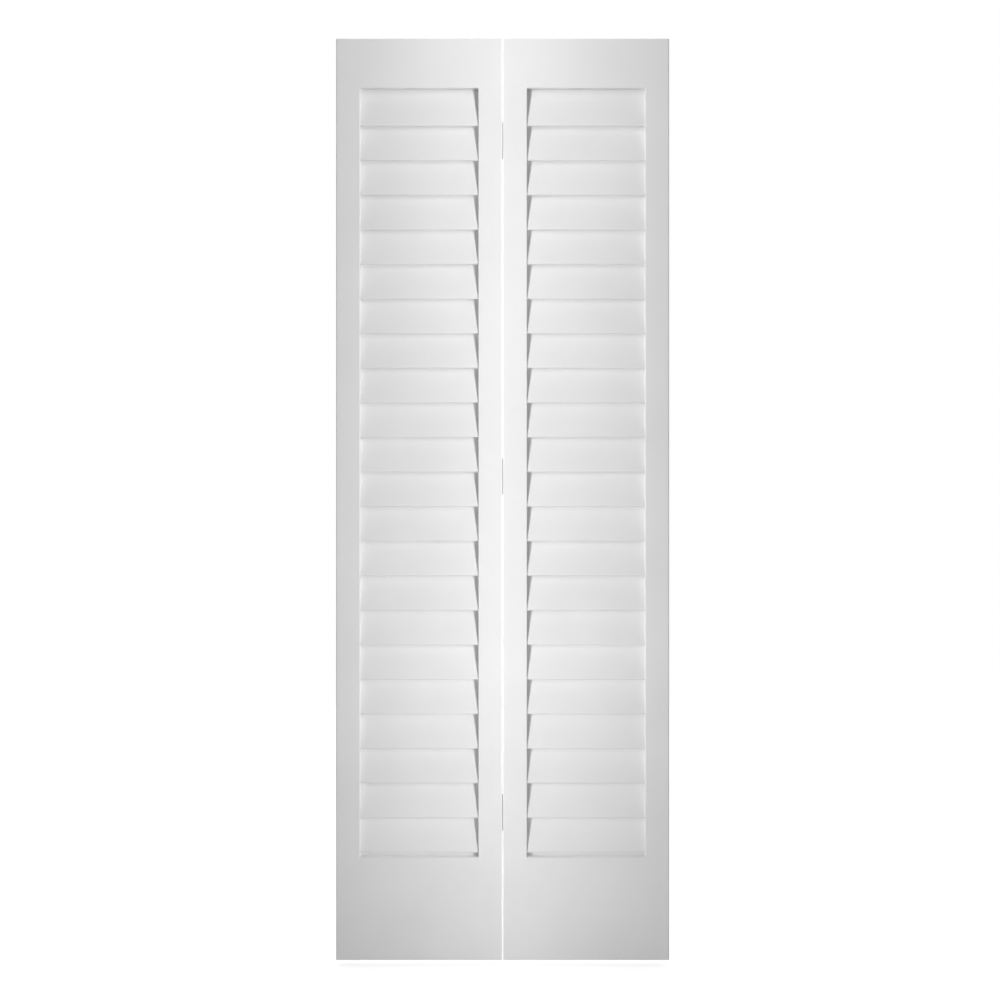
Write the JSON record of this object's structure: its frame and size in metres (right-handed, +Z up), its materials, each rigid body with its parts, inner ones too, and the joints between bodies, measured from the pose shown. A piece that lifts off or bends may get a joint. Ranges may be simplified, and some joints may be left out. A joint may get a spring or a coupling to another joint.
{
  "type": "bifold closet door",
  "caption": "White louvred bifold closet door: two framed leaves of fixed slats, hinged at the seam, turning on a bottom pivot and led by a guide pin.",
  "frame": {"origin": "tip of the bottom pivot pin, on the pivot axis, level with the leaves' bottom edge and at the middle of their thickness", "axes": "+Z up along the pivot, +X along the closed door from the pivot to the guide, -Y towards the room"},
  "size_m": [0.726, 0.0362, 2.007],
  "materials": {
    "white_paint": "satin white paint",
    "zinc_steel": "zinc plated",
    "white_nylon": "moulded"
  },
  "bodies": {
    "bottom_pivot": {"bottom_pivot_pin": "zinc_steel"},
    "pivot_bush": {"bottom_pivot_bush": "white_nylon"},
    "pivot_leaf": {"bottom_hinge_outer_leaf": "zinc_steel", "middle_hinge_outer_leaf": "zinc_steel", "pivot_leaf_bottom_rail": "white_paint", "pivot_leaf_hinge_stile": "white_paint", "pivot_leaf_jamb_stile": "white_paint", "pivot_leaf_slat_02": "white_paint", "pivot_leaf_slat_03": "white_paint", "pivot_leaf_slat_04": "white_paint", "pivot_leaf_slat_05": "white_paint", "pivot_leaf_slat_06": "white_paint", "pivot_leaf_slat_07": "white_paint", "pivot_leaf_slat_08": "white_paint", "pivot_leaf_slat_09": "white_paint", "pivot_leaf_slat_10": "white_paint", "pivot_leaf_slat_11": "white_paint", "pivot_leaf_slat_12": "white_paint", "pivot_leaf_slat_13": "white_paint", "pivot_leaf_slat_14": "white_paint", "pivot_leaf_slat_15": "white_paint", "pivot_leaf_slat_16": "white_paint", "pivot_leaf_slat_17": "white_paint", "pivot_leaf_slat_18": "white_paint", "pivot_leaf_slat_19": "white_paint", "pivot_leaf_slat_20": "white_paint", "pivot_leaf_slat_21": "white_paint", "pivot_leaf_slat_22": "white_paint", "pivot_leaf_top_rail": "white_paint", "top_hinge_outer_leaf": "zinc_steel"},
    "lead_leaf": {"bottom_hinge_inner_leaf": "zinc_steel", "lead_leaf_bottom_rail": "white_paint", "lead_leaf_guide_stile": "white_paint", "lead_leaf_hinge_stile": "white_paint", "lead_leaf_slat_02": "white_paint", "lead_leaf_slat_03": "white_paint", "lead_leaf_slat_04": "white_paint", "lead_leaf_slat_05": "white_paint", "lead_leaf_slat_06": "white_paint", "lead_leaf_slat_07": "white_paint", "lead_leaf_slat_08": "white_paint", "lead_leaf_slat_09": "white_paint", "lead_leaf_slat_10": "white_paint", "lead_leaf_slat_11": "white_paint", "lead_leaf_slat_12": "white_paint", "lead_leaf_slat_13": "white_paint", "lead_leaf_slat_14": "white_paint", "lead_leaf_slat_15": "white_paint", "lead_leaf_slat_16": "white_paint", "lead_leaf_slat_17": "white_paint", "lead_leaf_slat_18": "white_paint", "lead_leaf_slat_19": "white_paint", "lead_leaf_slat_20": "white_paint", "lead_leaf_slat_21": "white_paint", "lead_leaf_slat_22": "white_paint", "lead_leaf_top_rail": "white_paint", "middle_hinge_inner_leaf": "zinc_steel", "top_hinge_inner_leaf": "zinc_steel"},
    "top_pivot": {"top_pivot_pin": "zinc_steel"},
    "guide": {"guide_pin": "white_nylon"}
  },
  "joints": [
    {"name": "height_adjust", "type": "slide", "parent": "bottom_pivot", "child": "pivot_bush", "axis": [0, 0, 1], "range_m": [0, 0.012]},
    {"name": "swing", "type": "hinge", "parent": "pivot_bush", "child": "pivot_leaf", "pos_m": [0, 0, 0], "axis": [0, 0, -1], "range_deg": [0, 85]},
    {"name": "fold", "type": "hinge", "parent": "pivot_leaf", "child": "lead_leaf", "pos_m": [0.341, 0.0183, 1], "axis": [0, 0, 1], "range_deg": [0, 170]},
    {"name": "top_pivot_lift", "type": "slide", "parent": "pivot_leaf", "child": "top_pivot", "axis": [0, 0, 1], "range_m": [0, 0.012]},
    {"name": "guide_lift", "type": "slide", "parent": "lead_leaf", "child": "guide", "axis": [0, 0, 1], "range_m": [0, 0.012]}
  ],
  "couplings": [
    {"joint": "fold", "follows": "swing", "ratio": 2}
  ]
}
